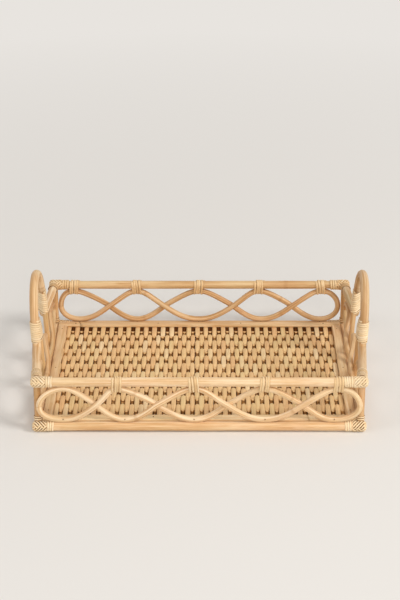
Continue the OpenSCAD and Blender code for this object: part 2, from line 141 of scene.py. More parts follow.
def put_pole(pole, start, end):
    """Lays a straight pole from start towards end."""
    start, end = np.asarray(start, float), np.asarray(end, float)
    way = (end - start) / np.linalg.norm(end - start)
    side, up = square_to(way)
    lying = points_of(pole)
    set_points(pole, start + lying[:, :1] * way + lying[:, 1:2] * side + lying[:, 2:] * up)


def add_node(finish, kind, settings=None, **sockets):
    """Adds a node to a finish; a socket is given a value or another node's output."""
    made = finish.node_tree.nodes.new("ShaderNode" + kind)
    for key, value in (settings or {}).items():
        setattr(made, key, value)
    for key, value in sockets.items():
        socket = made.inputs[key.replace("_", " ")]
        if isinstance(value, bpy.types.NodeSocket):
            finish.node_tree.links.new(value, socket)
        else:
            socket.default_value = value
    return made


def blend_colours(finish, share, first, second, how="MIX"):
    """The first colour with a share of the second over it."""
    made = finish.node_tree.nodes.new("ShaderNodeMix")
    made.data_type = "RGBA"
    made.blend_type = how
    for index, value in ((0, share), (6, first), (7, second)):
        if isinstance(value, bpy.types.NodeSocket):
            finish.node_tree.links.new(value, made.inputs[index])
        else:
            made.inputs[index].default_value = value
    return made.outputs[2]


def ramp(finish, share, stops):
    """Colours along a scale from 0 to 1, given as stops of a place and a colour."""
    made = add_node(finish, "ValToRGB", Fac=share)
    bar = made.color_ramp.elements
    while len(bar) < len(stops):
        bar.new(0.5)
    for mark, (place, colour) in zip(bar, stops):
        mark.position = place
        mark.color = colour
    return made.outputs["Color"]


def spread(finish, value, low, high, to_low, to_high):
    """A value between low and high, taken over to between two other numbers."""
    return add_node(finish, "MapRange", Value=value, From_Min=low, From_Max=high,
                    To_Min=to_low, To_Max=to_high).outputs["Result"]


def stain(finish, colour, over, value, low, high, to_low, to_high, how="MIX"):
    """A colour with another laid over it, by a share that follows a value."""
    return blend_colours(finish, spread(finish, value, low, high, to_low, to_high), colour, tone(over), how)


def painted_on(finish, name):
    """What has been written on the points of a piece under a name."""
    return add_node(finish, "Attribute", {"attribute_name": name}).outputs["Fac"]


def grain_noise(finish, across, lengthwise, detail, rough):
    """Noise on a piece's own grain, drawn out along its length."""
    grain = add_node(finish, "Attribute", {"attribute_name": "grain"}).outputs["Vector"]
    laid = add_node(finish, "Mapping", Vector=grain, Scale=(across, across, lengthwise)).outputs["Vector"]
    noise = add_node(finish, "TexNoise", Vector=laid, Scale=1.0, Detail=detail, Roughness=rough)
    return noise.outputs["Fac"]


def new_finish(name):
    """A new material and its shader."""
    finish = bpy.data.materials.new(name)
    finish.use_nodes = True
    return finish, finish.node_tree.nodes["Principled BSDF"]


def join_up(finish, shader, **inputs):
    """Leads colours and values into a shader."""
    for key, value in inputs.items():
        finish.node_tree.links.new(value, shader.inputs[key.replace("_", " ")])


def cane_finish(name, deep, middle, pale, pink, green):
    """Peeled rattan: long soft streaks, fine fibres, slow drifts of colour and darker joints."""
    finish, shader = new_finish(name)
    streak = grain_noise(finish, 0.42, 0.008, 3.0, 0.6)
    fibre = grain_noise(finish, 3.0, 0.03, 2.0, 0.5)
    drift = grain_noise(finish, 0.05, 0.013, 2.0, 0.5)
    speck = grain_noise(finish, 1.3, 0.35, 2.0, 0.6)
    patch = grain_noise(finish, 0.09, 0.022, 2.0, 0.5)
    joint = painted_on(finish, "joint")
    colour = ramp(finish, streak, [(0.34, tone(deep)), (0.49, tone(middle)), (0.65, tone(pale))])
    colour = stain(finish, colour, pale, patch, 0.52, 0.68, 0.0, 0.65)
    colour = stain(finish, colour, deep, patch, 0.44, 0.3, 0.0, 0.45)
    colour = stain(finish, colour, pink, drift, 0.52, 0.72, 0.0, 0.4)
    colour = stain(finish, colour, green, drift, 0.46, 0.28, 0.0, 0.5)
    colour = stain(finish, colour, "B98752", fibre, 0.35, 0.65, 0.22, 0.0, "MULTIPLY")
    colour = stain(finish, colour, "B07A48", speck, 0.66, 0.78, 0.0, 0.4)
    colour = stain(finish, colour, "A9743F", joint, 0.15, 1.0, 0.0, 0.4)
    raised = add_node(finish, "Bump", Height=fibre, Strength=0.35, Distance=0.00035).outputs["Normal"]
    join_up(finish, shader, Base_Color=colour, Roughness=spread(finish, fibre, 0.3, 0.7, 0.6, 0.44),
            Normal=raised)
    shader.inputs["Specular IOR Level"].default_value = 0.25
    return finish


def fit(piece, finish, slot, *nodes):
    """Gives a piece its finish and puts it on the tray in place of its plain solids."""
    piece.data.materials.clear()
    piece.data.materials.append(finish)
    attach(piece, "root")
    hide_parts(*nodes)


low_rail_finish = cane_finish("low_rail_cane", "CFA06C", "E4BC8A", "F4D6AC", "E6B68C", "DEC494")
for back, side_name, joints in ((-1, "front", ()), (1, "back", (60, 290))):
    rail = straight_pole(f"base_{side_name}_rail_cane", rail_length, pole_thick, 3 + back, joints=joints)
    put_pole(rail, (-rail_length / 2, back * rail_y, low_z), (rail_length / 2, back * rail_y, low_z))
    fit(rail, low_rail_finish, "poles", f"base_{side_name}_rail")
for side, side_name in left_right:
    rail = straight_pole(f"base_{side_name}_rail_cane", side_rail_length, pole_thick, 8 + side, joints=(95,))
    put_pole(rail, (side * rail_x, -side_rail_length / 2, low_z),
             (side * rail_x, side_rail_length / 2, low_z))
    fit(rail, low_rail_finish, "poles", f"base_{side_name}_rail")

# Corner posts: four short lengths of thinner pole that stand between the bottom and top rails, a
# little inboard of them, and are held at both ends by the plaited bindings.
post_y, post_foot, post_length, post_thick = 146.5, 13.2, 49.6, 9
corners = (-1, -1, "front_left"), (1, -1, "front_right"), (-1, 1, "back_left"), (1, 1, "back_right")
# The posts' finish is darker than the rails', partly as painted shade for posts that stand in the corners'
# shade.
post_finish = cane_finish("post_cane", "B98A56", "CFA470", "E2C296", "D2A076", "C8B082")
for side, back, corner in corners:
    post = straight_pole(f"{corner}_post_cane", post_length, post_thick, 20 + 2 * side + back, step=2.0)
    put_pole(post, (side * rail_x, back * post_y, post_foot),
             (side * rail_x, back * post_y, post_foot + post_length))
    fit(post, post_finish, "poles", f"{corner}_post")

# Under strips: four flat strips of split cane under the rim of the woven floor, held by the nails of
# the edge strips above. They can't be seen in the photograph.
under_length, under_side_length, under_wide, under_thick, under_soft = 393.6, 267.2, 10, 3, 0.6
under_x, under_y, under_z = 191.8, 138.8, 3.8


def flat_strip(name, length, width, thick, seed, soft=0.8):
    """A flat strip along X, centred, its lower face on z 0, with eased edges and uneven sides."""
    bpy.ops.object.select_all(action="DESELECT")
    bpy.ops.mesh.primitive_cube_add(size=mm)
    strip = bpy.context.object
    strip.name = name
    bpy.ops.transform.resize(value=(length, width, thick))
    bpy.ops.transform.translate(value=(0, 0, thick / 2 * mm))
    bpy.ops.object.transform_apply(location=True, rotation=True, scale=True)
    select_edges(strip, lambda a, b: True)
    edit(bpy.ops.mesh.bevel, offset=soft * mm, segments=3)
    select_edges(strip, lambda a, b: abs(a[0] - b[0]) > 0.6 * length)
    edit(bpy.ops.mesh.subdivide, number_cuts=max(int(length / 6), 3))
    bpy.ops.object.shade_smooth_by_angle(angle=math.radians(40))
    laid = points_of(strip)
    write_on(strip, "grain", np.stack([laid[:, 1], laid[:, 2], laid[:, 0] + 700 * seed], 1))
    write_on(strip, "joint", np.zeros(len(laid)))
    along = laid[:, 0]
    laid[:, 1] += 0.35 * np.sin(along / 37 + 1.7 * seed) * (laid[:, 1] > 0)
    laid[:, 2] += 0.16 * np.sin(along / 23 + seed) * (laid[:, 2] > 0.6 * thick)
    set_points(strip, laid)
    return strip


def turn_and_put(strip, degrees, place):
    """Turns a strip level about the origin and carries it to its place."""
    a = math.radians(degrees)
    laid = points_of(strip)
    x, y = laid[:, 0].copy(), laid[:, 1].copy()
    laid[:, 0], laid[:, 1] = x * math.cos(a) - y * math.sin(a), x * math.sin(a) + y * math.cos(a)
    set_points(strip, laid + np.asarray(place))


under_finish = cane_finish("under_strip_cane", "BE9260", "CFA671", "DDBB89", "D2A172", "C8AF7F")
for back, side_name in front_back:
    strip = flat_strip(f"{side_name}_under_strip_cane", under_length, under_wide, under_thick,
                       30 + back, under_soft)
    turn_and_put(strip, 0, (0, back * under_y, under_z))
    fit(strip, under_finish, "strips", f"{side_name}_under_strip")
for side, side_name in left_right:
    strip = flat_strip(f"{side_name}_under_strip_cane", under_side_length, under_wide, under_thick,
                       34 + side, under_soft)
    turn_and_put(strip, 90, (side * under_x, 0, under_z))
    fit(strip, under_finish, "strips", f"{side_name}_under_strip")

# Woven floor: flat peeled strands woven one over and one under flat stakes, so that each strand shows
# as a row of long leaves with a dark hole in front of every stake. Painted shade darkens the holes, the
# strands' edges and the first row under the back strip. Its rim lies under the edge strips.
strand_pitch, strand_length, strand_half_wide = 6.0, 286, 3.35
strand_count = 64
hole_rows = [116.8, 97.6, 73.4, 49.4, 26.6, 1.3, -21.8, -45.3, -66.1, -90.2, -120.4, -139.4]
stake_length, stake_half_wide, stake_z = 392, 2.9, 8.3
stake_back, first_stake_back = 7.2, 4.9
float_z, dive = 9.55, 2.9
rim_start, rim_end = 131.5, 134
chance = np.random.default_rng(11)


def flat_strand(name, length, sides, steps):
    """A straight strand along Y, one unit thick each way, before it is woven."""
    bpy.ops.object.select_all(action="DESELECT")
    bpy.ops.mesh.primitive_cylinder_add(
        vertices=sides, radius=mm, depth=length * mm, rotation=(math.pi / 2, 0, 0))
    strand = bpy.context.object
    strand.name = name
    bpy.ops.object.transform_apply(location=True, rotation=True, scale=True)
    cut_across(strand, 1, length, steps)
    bpy.ops.object.shade_smooth()
    return strand


def copy_of(piece, name):
    """A copy of a piece with a mesh of its own."""
    twin = bpy.data.objects.new(name, piece.data.copy())
    bpy.context.scene.collection.objects.link(twin)
    return twin


def joined(pieces, name):
    """One piece made of several."""
    bpy.ops.object.select_all(action="DESELECT")
    for piece in pieces:
        piece.select_set(True)
    bpy.context.view_layer.objects.active = pieces[0]
    bpy.ops.object.join()
    pieces[0].name = name
    return pieces[0]


def ease(value, start, end):
    """0 before start, 1 after end, and a smooth rise between them."""
    share = np.clip((value - start) / (end - start), 0, 1)
    return share * share * (3 - 2 * share)


def sway(row, column):
    """How far a row of the weave strays from straight at a column."""
    return 0.9 * np.sin(column / 6.3 + 2.1 * row) + 0.5 * np.sin(column / 2.9 + row)


def flattened(up):
    """A round section's height, with its top and bottom made flatter."""
    return np.sign(up) * np.abs(up) ** 0.7


half_strand = strand_length / 2
plain_strand = flat_strand("woven_strand", strand_length, sides=12, steps=96)
unit_strand = points_of(plain_strand)
strands = []
for column in range(-strand_count // 2, strand_count // 2):
    strand = copy_of(plain_strand, f"strand_{column + strand_count // 2}")
    over, along, up = unit_strand.T
    rows = [n for n in range(len(hole_rows)) if (n + column) % 2 == 0]
    holes = np.array([hole_rows[n] + sway(n, column) + 0.5 * chance.normal() for n in rows])
    evenly = np.linspace(-half_strand, half_strand, 1500)
    crowding = np.cumsum(1 + 1.6 * np.exp(-((evenly[:, None] - holes + 1) / 6) ** 2).sum(1))
    crowding = (crowding - crowding[0]) / (crowding[-1] - crowding[0])
    along = np.interp((along + half_strand) / strand_length, crowding, evenly)
    away = along[:, None] - holes
    nearest = np.argmin(np.abs(away - 6), axis=1)
    away = away[np.arange(len(along)), nearest]
    last = (nearest == 0) & (rows[0] == 0)
    flank = np.abs(over) ** 1.5
    sunk_and_painted_shade = ease(away, -5.4 - 2.6 * flank, -3.2 - 2.6 * flank)
    sunk_and_painted_shade *= 1 - ease(away, 9 + 40 * last, 17 + 40 * last)
    thin = ease(away, -11, -4.2) * (1 - ease(away, 9, 20))
    rim = 1 - 0.75 * np.maximum(ease(np.abs(along), rim_start, rim_end), abs(column + 0.5) > 30)
    half_wide = (strand_half_wide - 0.35 * thin) * (1 + 0.03 * chance.normal())
    crown = np.where(up > 0, 1.0 - 0.35 * sunk_and_painted_shade, 0.4)
    drift = 0.25 * np.sin(along / 41 + column) + 0.15 * chance.normal()
    place = np.stack([
        strand_pitch * (column + 0.5) + drift + over * half_wide,
        along,
        float_z - dive * sunk_and_painted_shade * rim + flattened(up) * crown + 0.08 * chance.normal()], 1)
    set_points(strand, place)
    # Painted shade on the strand: dark holes just in front of each stake, wider at its sides, small dark
    # slits at its sides past each hole, and dark squares in the first row under the back strip. depth makes
    # each hole's painted shade a little stronger or weaker at random.
    depth = (0.6 + 0.4 * chance.random(len(holes)))[nearest]
    painted_hole_shade = ease(away, -3.6 - 3.2 * flank, -1.8 - 3.2 * flank) * (1 - ease(away, 4.2, 6.4))
    painted_hole_shade *= 0.6 + 0.5 * flank
    painted_slit_shade = 0.7 * ease(away, 5, 7) * (1 - ease(away, 9, 11.5)) * ease(np.abs(over), 0.5, 0.9)
    square = ease(along, 121.5, 124) * (0.8 + 0.2 * np.abs(over)) * last
    leaf_hues = chance.random(len(holes) + 1)
    write_on(strand, "grain", np.stack([over * 3, up, along + 313 * column], 1))
    write_on(strand, "hue", leaf_hues[np.searchsorted(holes[::-1], along)])
    write_on(strand, "sunk_and_painted_shade", np.maximum(depth * np.maximum(painted_hole_shade, painted_slit_shade), square))
    write_on(strand, "edge", np.abs(over))
    strands.append(strand)
bpy.data.objects.remove(plain_strand)

plain_stake = flat_strand("stake", stake_length, sides=8, steps=220)
unit_stake = points_of(plain_stake)
for number, row in enumerate(hole_rows[:-1]):
    stake = copy_of(plain_stake, f"stake_{number}")
    over, along, up = unit_stake.T
    column = along / strand_pitch - 0.5
    lift = -np.cos(math.pi * (column + number + 1))
    place = np.stack([
        along,
        row + (stake_back if number else first_stake_back) + sway(number, column) + over * stake_half_wide,
        stake_z + 0.12 * lift + flattened(up) * 0.85], 1)
    set_points(stake, place)
    write_on(stake, "grain", np.stack([over * 4, up, along + 5000 + 419 * number], 1))
    write_on(stake, "hue", np.full(len(along), 0.3 + 0.3 * chance.random()))
    # Painted shade on the stake: its front edge, darker beside the strands that pass over it, and the parts
    # tucked under those strands.
    beside = np.abs((column + number + 1) % 2 - 1)
    tucked = 0.95 * ease(beside, 0.18, 0.4) * (1 - ease(over, -0.1, 0.8))
    painted_front_edge_shade = (0.5 + 0.45 * ease(beside, 0.05, 0.3)) * ease(-over, 0.62, 0.95)
    write_on(stake, "sunk_and_painted_shade", np.maximum(painted_front_edge_shade, tucked))
    write_on(stake, "edge", np.abs(over) * 0.6)
    strands.append(stake)
bpy.data.objects.remove(plain_stake)
weave = joined(strands, "woven_floor_strands")

weave_finish, weave_shader = new_finish("woven_cane")
hue, sunk_and_painted_shade, edge = (painted_on(weave_finish, name) for name in ("hue", "sunk_and_painted_shade", "edge"))
strand_streak = grain_noise(weave_finish, 0.7, 0.018, 3.0, 0.6)
strand_fibre = grain_noise(weave_finish, 4.0, 0.05, 2.0, 0.5)
leaf = ramp(weave_finish, hue, [
    (0.0, tone("EEC592")), (0.3, tone("F6D39F")), (0.6, tone("F4D29C")), (0.8, tone("F1D59F")),
    (1.0, tone("FCE3B8"))])
leaf = stain(weave_finish, leaf, "CF9E62", strand_streak, 0.35, 0.62, 0.34, 0.0)
leaf = stain(weave_finish, leaf, "B98752", strand_fibre, 0.35, 0.65, 0.25, 0.0, "MULTIPLY")
# Painted shade: a warm brown along the strands' edges where they meet, then a warm brown and a dark brown
# where the painted shade value is high, in the holes and under the strands.
leaf = stain(weave_finish, leaf, "A0601C", edge, 0.75, 1.0, 0.0, 0.3)
leaf = stain(weave_finish, leaf, "BC803A", sunk_and_painted_shade, 0.05, 0.45, 0.0, 0.85)
leaf = stain(weave_finish, leaf, "5E3210", sunk_and_painted_shade, 0.35, 0.85, 0.0, 1.0)
strand_bump = add_node(weave_finish, "Bump", Height=strand_fibre, Strength=0.4, Distance=0.0003)
join_up(weave_finish, weave_shader, Base_Color=leaf, Normal=strand_bump.outputs["Normal"],
        Roughness=spread(weave_finish, strand_fibre, 0.3, 0.7, 0.7, 0.56))
weave_shader.inputs["Specular IOR Level"].default_value = 0.15
fit(weave, weave_finish, "weave", "woven_floor")

# Edge strips: flat strips of peeled cane laid over the rim of the weave, one side at a time. The
# front and back ones are each pieced from a long and a short length with a slanting joint.
strip_length, side_strip_length, strip_wide, strip_thick = 396.4, 266, 12, 3.5
strip_x, strip_y, strip_z = 192.2, 139.2, 10.8
joint_half_gap = 0.4
# The front strip's finish is paler than the other strips', partly as painted light to make up for the shade
# the front wall casts on it.
front_strip_finish = cane_finish("front_strip_cane", "F4CE98", "FCDFAC", "FFEABF", "FAD5A6", "F8E0AC")
strip_finish = cane_finish("edge_strip_cane", "CFA470", "E2BD8C", "F0D3A8", "E2B88F", "DAC497")


def cut_slanting(strip, place, keep_right):
    """Cuts a strip across at a slant and keeps one side, with the cut face closed."""
    slant = math.radians(13)
    bpy.ops.object.select_all(action="DESELECT")
    strip.select_set(True)
    bpy.context.view_layer.objects.active = strip
    bpy.ops.object.mode_set(mode="EDIT")
    bpy.ops.mesh.select_all(action="SELECT")
    bpy.ops.mesh.bisect(plane_co=(place * mm, 0, 0), plane_no=(math.cos(slant), math.sin(slant), 0),
                        use_fill=True, clear_inner=keep_right, clear_outer=not keep_right)
    bpy.ops.object.mode_set(mode="OBJECT")


for turn, back, side_name, short, finish in ((0, -1, "front", 61, front_strip_finish),
                                             (180, 1, "back", 30, strip_finish)):
    for keep_right, suffix in ((False, ""), (True, "_end")):
        strip = flat_strip(f"{side_name}_edge_strip{suffix}_cane", strip_length, strip_wide, strip_thick,
                           40 + turn / 60 + 5 * keep_right)
        cut = strip_length / 2 - short + (joint_half_gap if keep_right else -joint_half_gap)
        cut_slanting(strip, cut, keep_right)
        turn_and_put(strip, turn, (0, back * strip_y, strip_z))
        fit(strip, finish, "strips", f"{side_name}_edge_strip{suffix}")
for side, side_name in left_right:
    strip = flat_strip(f"{side_name}_edge_strip_cane", side_strip_length, strip_wide, strip_thick, 52 + side)
    turn_and_put(strip, 90 * side, (side * strip_x, 0, strip_z))
    fit(strip, strip_finish, "strips", f"{side_name}_edge_strip")

# Strip nails: small steel wire nails with low round heads, gone brown. They are driven down through
# the edge strips and the rim of the weave, four to a long strip and three to a side one.
nail_length, head_r, head_thick = 10, 0.9, 0.6
nail_finish, nail_shader = new_finish("nail_steel")
nail_place = add_node(nail_finish, "TexCoord").outputs["Object"]
nail_patch = add_node(nail_finish, "TexNoise", Vector=nail_place, Scale=900.0, Detail=3.0).outputs["Fac"]
nail_colour = ramp(nail_finish, nail_patch, [(0.35, tone("7E5A34")), (0.65, tone("A9835A"))])
join_up(nail_finish, nail_shader, Base_Color=nail_colour,
        Roughness=spread(nail_finish, nail_patch, 0.3, 0.7, 0.4, 0.65))
nail_shader.inputs["Metallic"].default_value = 0.35


def driven_nail(name, place, out):
    """A nail with a low domed head, its head's underside at place, driven in against out."""
    bpy.ops.object.select_all(action="DESELECT")
    bpy.ops.mesh.primitive_cylinder_add(vertices=12, radius=head_r * mm, depth=head_thick * mm)
    nail = bpy.context.object
    nail.name = name
    edit(bpy.ops.mesh.select_all, action="DESELECT")
    bpy.context.tool_settings.mesh_select_mode = (False, False, True)
    for face in nail.data.polygons:
        face.select = face.normal.z < -0.9
    bpy.ops.object.mode_set(mode="EDIT")
    bpy.ops.mesh.inset(thickness=0.4 * mm)
    bpy.ops.mesh.extrude_region_move(TRANSFORM_OT_translate={"value": (0, 0, -nail_length * mm)})
    bpy.ops.object.mode_set(mode="OBJECT")
    select_edges(nail, lambda a, b: a[2] > 0.2 and b[2] > 0.2)
    edit(bpy.ops.mesh.bevel, offset=0.35 * mm, segments=2)
    bpy.ops.object.shade_smooth_by_angle(angle=math.radians(60))
    out = np.asarray(out, float) / np.linalg.norm(out)
    side, up = square_to(out, 1)
    made = points_of(nail)
    made[:, 2] += head_thick / 2
    set_points(nail, np.asarray(place) + made[:, :1] * side + made[:, 1:2] * up + made[:, 2:] * out)
    return nail


nail_places = [(x, y) for x in (-174.2, -58.1, 58.1, 174.2) for y in (-strip_y, strip_y)]
nail_places += [(x, y) for y in (-121.2, 0, 121.2) for x in (-strip_x, strip_x)]
nails = [driven_nail(f"nail_{number}", (x, y, strip_z + strip_thick), (0, 0, 1))
         for number, (x, y) in enumerate(nail_places)]
fit(joined(nails, "strip_nail_heads"), nail_finish, "nails", "strip_nails")

# Top rails: two lengths of pole along the front and back, over the chains of bent canes, with their
# ends in the plaited corner bindings.
high_z = 69
# The back rail's finish is darker than the front one's, partly as painted shade for the light falling off
# towards the back.
rail_finish = cane_finish("rail_cane", "D9AE7C", "ECC99A", "FAE2BE", "EBBF95", "E6CD9E")
back_finish = cane_finish("back_rail_cane", "C2945F", "D8B280", "EACDA0", "D9AA80", "D2BA8A")
for back, side_name, thick, finish, joints in ((-1, "front", pole_thick, rail_finish, (205,)),
                                               (1, "back", 11.2, back_finish, (118, 330))):
    rail = straight_pole(f"top_{side_name}_rail_cane", rail_length, thick, 60 + back, joints=joints)
    put_pole(rail, (-rail_length / 2, back * rail_y, high_z), (rail_length / 2, back * rail_y, high_z))
    fit(rail, finish, "poles", f"top_{side_name}_rail")

# Handles: one pole to a side, steamed and bent. It runs from the front corner along the top of the
# side, turns up into a leg, arches over, and comes down and runs on to the back corner.
handle_lean = math.tan(math.radians(3))
leg_x, leg_y, bend_r, arch_rise = 210.5, 50, 8.5, 27
handle_thick = 11.4


def even_route(route, step=2.0):
    """The same route with its points evenly spaced, and its length."""
    route = np.asarray(route, float)
    run = np.concatenate([[0], np.cumsum(np.linalg.norm(np.diff(route, axis=0), axis=1))])
    marks = np.linspace(0, run[-1], max(int(run[-1] / step), 4))
    return np.stack([np.interp(marks, run, route[:, i]) for i in range(3)], 1), run[-1]


def bend_to(pole, route):
    """Bends a straight pole along X to a route."""
    bpy.ops.object.select_all(action="DESELECT")
    bpy.ops.curve.primitive_nurbs_path_add()
    guide = bpy.context.object
    guide.data.splines.clear()
    line = guide.data.splines.new("POLY")
    line.points.add(len(route) - 1)
    for point, place in zip(line.points, route):
        point.co = (*(place * mm), 1)
    bend = pole.modifiers.new("bend", "CURVE")
    bend.object = guide
    bend.deform_axis = "POS_X"
    bpy.context.view_layer.objects.active = pole
    bpy.ops.object.modifier_apply(modifier="bend")
    bpy.data.objects.remove(guide)
    return pole


def handle_route(side):
    """The bent line of a side's handle, from the front corner to the back one."""
    half = [(rail_x, -rail_y + 2, 0)]
    half += [(leg_x, -leg_y - bend_r * (1 - math.sin(a)), bend_r * (1 - math.cos(a)))
             for a in np.radians(np.linspace(0, 90, 13))]
    half += [(leg_x, -leg_y * math.cos(a), arch_rise + leg_y * math.sin(a))
             for a in np.radians(np.linspace(0, 90, 31))]
    whole = half + [(x, -y, rise) for x, y, rise in reversed(half[:-1])]
    return [(side * (x + rise * handle_lean), y, high_z + rise) for x, y, rise in whole]


handle_tones = {"left": ("C79966", "E2BC8C", "F8E0BA", "E4B78E", "DAC292"),
                "right": ("BA8D5C", "D0AB7C", "E8CEA8", "D4A880", "C8B282")}
for side, side_name in left_right:
    handle_finish = cane_finish(f"{side_name}_handle_cane", *handle_tones[side_name])
    route, length = even_route(handle_route(side))
    handle = straight_pole(f"{side_name}_handle_cane", length, handle_thick, 70 + side, step=2.5,
                           joints=(118, 262))
    fit(bend_to(handle, route), handle_finish, "poles", f"{side_name}_handle")

# Struts: a thinner straight cane tucked behind each handle leg, from the bottom side rail up to a
# whittled tip, bound to the leg.
strut_y, strut_slope, strut_thick = 39.73, 0.0618, 7
strut_foot, strut_length = low_z + 5.6, 92.2
strut_top = strut_foot + strut_length


def strut_x(z):
    """How far out a strut's middle line is at a height."""
    return rail_x + strut_slope * (z - low_z)


strut_finish = cane_finish("strut_cane", "C8975F", "DBB07A", "EACA98", "DCA677", "D2BA88")
for side, side_name in left_right:
    for back, end_name in front_back:
        strut = straight_pole(f"{end_name}_{side_name}_strut_cane", strut_length, strut_thick,
                              76 + 2 * side + back, sides=16, step=2.0, tip=(10, 4))
        put_pole(strut, (side * strut_x(strut_foot), back * strut_y, strut_foot),
                 (side * strut_x(strut_top), back * strut_y, strut_top))
        fit(strut, strut_finish, "canes", f"{end_name}_{side_name}_strut")

# Wall canes: two thin canes to each wall, bent in waves that cross to make a chain of loops. They
# pass over each other by turns, stand on the bottom rails and are tied to the top ones.
foot_z, crest_z = 16.2, 59.8
wave_middle, wave_height = (foot_z + crest_z) / 2, (crest_z - foot_z) / 2
cross_lift = -1.5
cane_thick, side_cane_thick = 7.5, 6.7
front_half, back_half, side_half = 201, 195, 138.5
end_loop_share, crest_straight = 0.85, 0.85
cane_part, strut_part, front_lap = 3.3, 6.7, 3.4


def loop_crossings(half, strays):
    """Where the two canes of a wall cross along it, each a little off its even place."""
    pitch = 2 * half / (len(strays) - 1 + 2 * end_loop_share)
    return [(j - (len(strays) - 1) / 2) * pitch + stray for j, stray in enumerate(strays)]


def crest_rise(share):
    """The rise to a crest, straighter than a plain wave."""
    return math.asin(crest_straight * share) / math.asin(crest_straight)


def wall_route(start, half, cross, strays, over, part, lap):
    """Points of one cane along a wall: place along, shift outwards, height. Start is 1 for the cane that
    rises first and -1 for the other, over says which passes outside at each crossing, part is half of what
    keeps them apart there, and lap is how far outside the rail's plane the canes end."""
    count = len(cross) + 1
    first = cross[0] - (cross[1] - cross[0]) / 2
    last = cross[-1] + (cross[-1] - cross[-2]) / 2
    route = []
    for t in np.linspace(0, count, 40 * count + 1):
        loop = min(int(t), count - 1)
        s = t - loop
        if loop == 0:
            along = (first - (first + half) * math.cos(math.pi * s) if s < 0.5
                     else first + (2 * s - 1) * (cross[0] - first))
        elif loop == count - 1:
            along = (last - (half - last) * math.cos(math.pi * s) if s > 0.5
                     else cross[-1] + 2 * s * (last - cross[-1]))
        else:
            along = cross[loop - 1] + s * (cross[loop] - cross[loop - 1])
        near = round(t)
        swell = math.cos(math.pi * (t - near)) ** 2
        out = lap * swell if near in (0, count) else start * over[near - 1] * part * swell
        share = start * math.sin(math.pi * t)
        along += strays[0 if share > 0 else 1][loop] * share ** 2
        rise = crest_rise(share) if share > 0 and 0.5 < t < count - 0.5 else share
        route.append((along, out, wave_middle + wave_height * rise + cross_lift * math.cos(math.pi * t) ** 2))
    return route


front_cross = loop_crossings(front_half, [-3, -13, -6, -1])
back_cross = loop_crossings(back_half, [-4, -6, 4, 4])
side_cross = [-strut_y, strut_y]
front_strays = [0, -9, 3.5, 0, 1.5], [-2, 0, 3, 0.5, -3]
back_strays = [-6.5, 0, 0, -3.5, 1], [0, 0, 0, 0, 0]
side_strays = [0, 0, 0], [0, 0, 0]
side_plane = strut_x(wave_middle + cross_lift)
# The back and side canes' finish is darker than the front ones', partly as painted shade for the light
# falling off towards the back.
front_cane_finish = cane_finish("front_wall_cane", "D3A674", "EAC899", "FAE3C0", "E8BC94", "E2CA9C")
inner_cane_finish = cane_finish("back_wall_cane", "B98A56", "D2A876", "E6C79C", "D6A77E", "CCB486")
for start, level in ((1, "upper"), (-1, "lower")):
    front = wall_route(start, front_half, front_cross, front_strays, [-1, 1, 1, 1], cane_part, front_lap)
    behind = wall_route(start, back_half, back_cross, back_strays, [1, 1, 1, -1], cane_part, 0)
    beside = wall_route(start, side_half, side_cross, side_strays, [1, -1], strut_part, 0)
    walls = {"front": [(x, -rail_y - out, z) for x, out, z in front],
             "back": [(x, rail_y + out, z) for x, out, z in behind],
             "right": [(side_plane + out, y, z) for y, out, z in beside],
             "left": [(-side_plane - out, y, z) for y, out, z in beside]}
    for number, (wall, route) in enumerate(walls.items()):
        route, length = even_route(route)
        thick = cane_thick if wall in ("front", "back") else side_cane_thick
        cane = straight_pole(f"{wall}_cane_{level}_bent", length, thick, 90 + number + 7 * start, sides=16,
                             step=2.5, joints=(0.31 * length, 0.78 * length))
        finish = front_cane_finish if wall == "front" else inner_cane_finish
        fit(bend_to(cane, route), finish, "canes", f"{wall}_cane_{level}")

# Foot nails: the same steel nails, one through the foot of each loop, driven in and down at a slant
# towards the edge strip.
nail_slant = math.radians(62)


def loop_places(cross, strays):
    """Where the crests or the feet of a wall's loops stand along it."""
    middles = [(a + b) / 2 for a, b in zip(cross, cross[1:])]
    middles = [cross[0] - (cross[1] - cross[0]) / 2] + middles + [cross[-1] + (cross[-1] - cross[-2]) / 2]
    return [middle + stray for middle, stray in zip(middles, strays)]


feet = [((x, -rail_y), (0, -1), cane_thick) for x in loop_places(front_cross, front_strays[1])]
feet += [((x, rail_y), (0, 1), cane_thick) for x in loop_places(back_cross, back_strays[1])]
for side in (-1, 1):
    feet += [((side * side_plane, y), (side, 0), side_cane_thick)
             for y in loop_places(side_cross, side_strays[1])]
foot_nails = []
for (x, y), (out_x, out_y), thick in feet:
    out = np.array([out_x * math.sin(nail_slant), out_y * math.sin(nail_slant), math.cos(nail_slant)])
    place = np.array([x, y, foot_z]) + thick / 2 * out
    foot_nails.append(driven_nail(f"foot_nail_{len(foot_nails)}", place, out))
fit(joined(foot_nails, "foot_nail_heads"), nail_finish, "nails", "foot_nails")

# Corner bindings: flat peel plaited round each corner where a rail, a post and a side pole meet. The
# plait makes a row of chevrons along the rail, and a few plain turns finish it. The peel is pale in
# front and browner at the back, partly as painted shade at the back corners.
peel_thick = 0.9
round_it = np.linspace(0, 2 * math.pi, 33)


